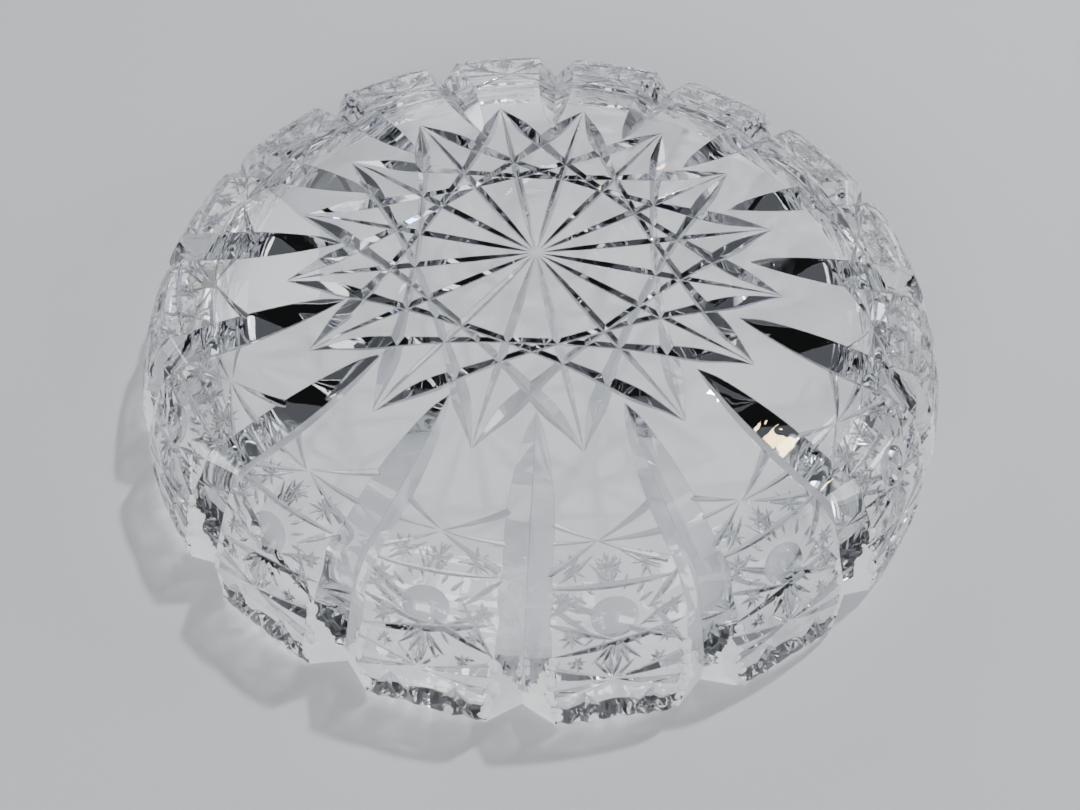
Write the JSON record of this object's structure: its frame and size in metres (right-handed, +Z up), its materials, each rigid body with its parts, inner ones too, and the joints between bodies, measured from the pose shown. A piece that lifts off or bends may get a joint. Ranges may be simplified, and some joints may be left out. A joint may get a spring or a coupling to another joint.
{
  "type": "cut glass bowl",
  "caption": "Low round cut-crystal bowl, stored mouth down, with a star ground into its base, V flutes running down to a scalloped rim, and star-cut panels between them.",
  "frame": {"origin": "centre of the rim plane, which is the lowest level while the bowl lies mouth down", "axes": "+Z up along the bowl's axis of symmetry, out of the ground base, so the bowl is stored turned over as it was pictured; turn it half a turn about X or Y to stand it on its base with its mouth up. One flute runs straight along -Y"},
  "size_m": [0.2026, 0.2026, 0.0354],
  "materials": {
    "crystal": "clear polished lead crystal, satin where the flutes meet the rim"
  },
  "bodies": {
    "root": {"cut_glass_bowl": "crystal"}
  },
  "joints": []
}
